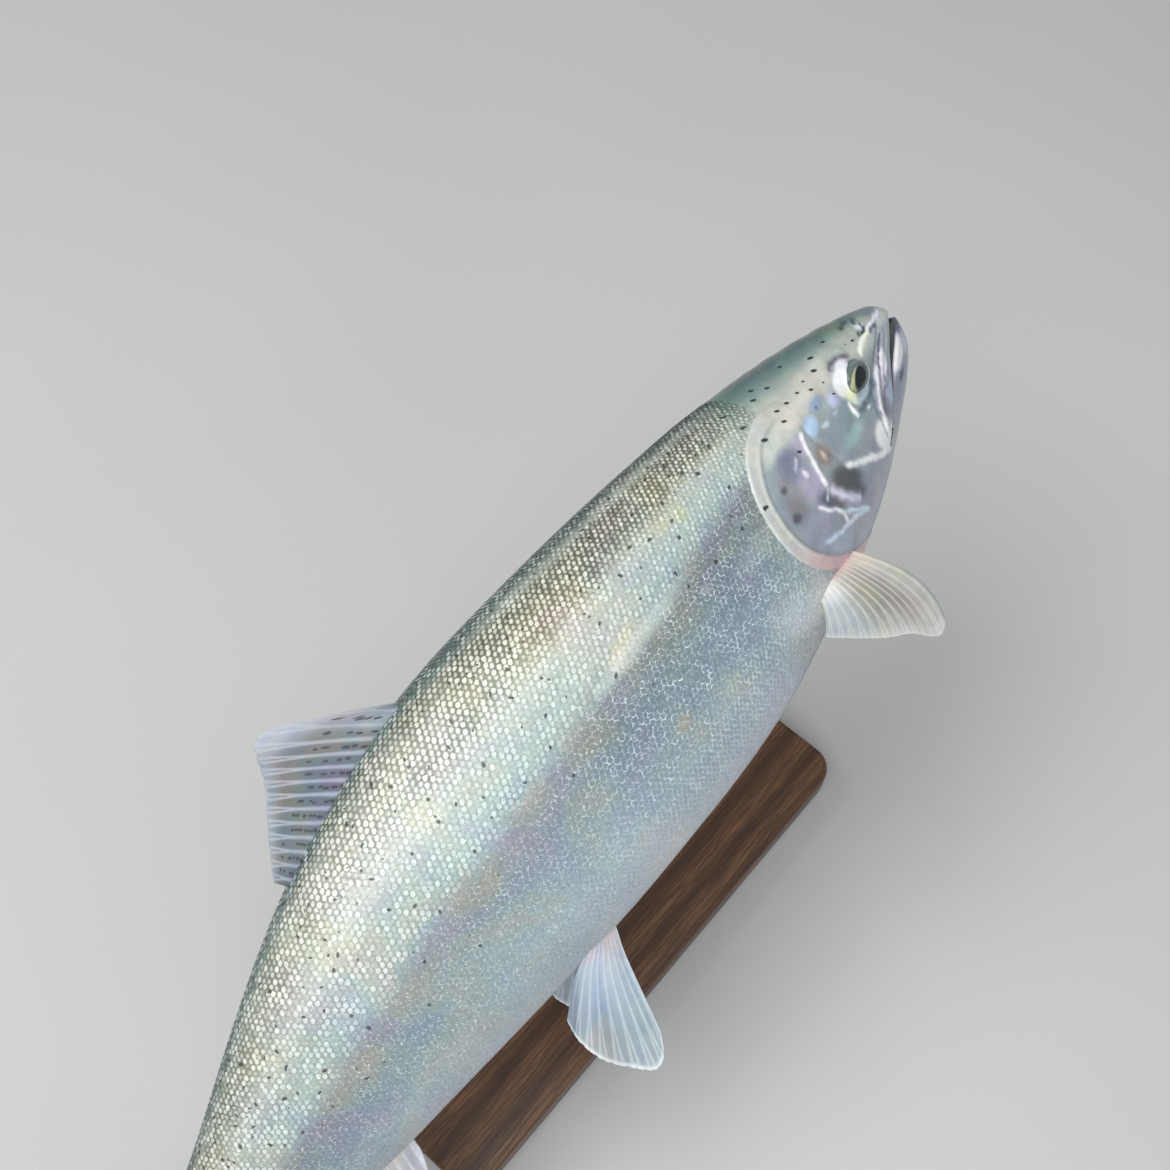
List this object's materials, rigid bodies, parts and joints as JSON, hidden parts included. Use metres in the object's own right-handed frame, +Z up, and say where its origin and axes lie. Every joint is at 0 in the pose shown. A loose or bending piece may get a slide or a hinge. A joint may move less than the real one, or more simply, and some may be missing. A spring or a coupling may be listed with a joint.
{
  "type": "rainbow trout model",
  "caption": "Life-size rainbow trout swimming nose up and banked on its left side, mouth slightly open and fins spread, on a wooden base with steel rods.",
  "frame": {"origin": "middle of the model's footprint, on the underside of the base", "axes": "+X the way the fish swims, which is its length, +Z up; the fish's back leans towards +Y and its belly towards -Y, so its right flank faces up"},
  "size_m": [0.566, 0.1798, 0.2567],
  "materials": {
    "skin": "wet-looking painted skin: dark spotted teal-olive back, silvery scaled flank with a dull mauve band, white belly",
    "fin_upper": "pale grey-lavender fin rays with dark spots between them, slightly translucent",
    "fin_lower": "cream and grey translucent fins, pink at their bases",
    "eye": "polished: black pupil in a gold and grey-green iris",
    "walnut": "dark satin walnut",
    "steel": "brushed"
  },
  "bodies": {
    "root": {"head": "skin", "jaw_lower": "skin", "trunk_front": "skin", "trunk_middle": "skin", "trunk_rear": "skin", "tail_stalk": "skin", "fin_dorsal": "fin_upper", "fin_adipose": "fin_upper", "fin_anal": "fin_lower", "fin_caudal": "fin_upper", "gill_cover_right": "skin", "eye_right": "eye", "fin_pectoral_right": "fin_lower", "fin_pelvic_right": "fin_lower", "gill_cover_left": "skin", "eye_left": "eye", "fin_pectoral_left": "fin_lower", "fin_pelvic_left": "fin_lower", "stand_base": "walnut", "stand_rod_front": "steel", "stand_rod_rear": "steel"}
  },
  "joints": []
}
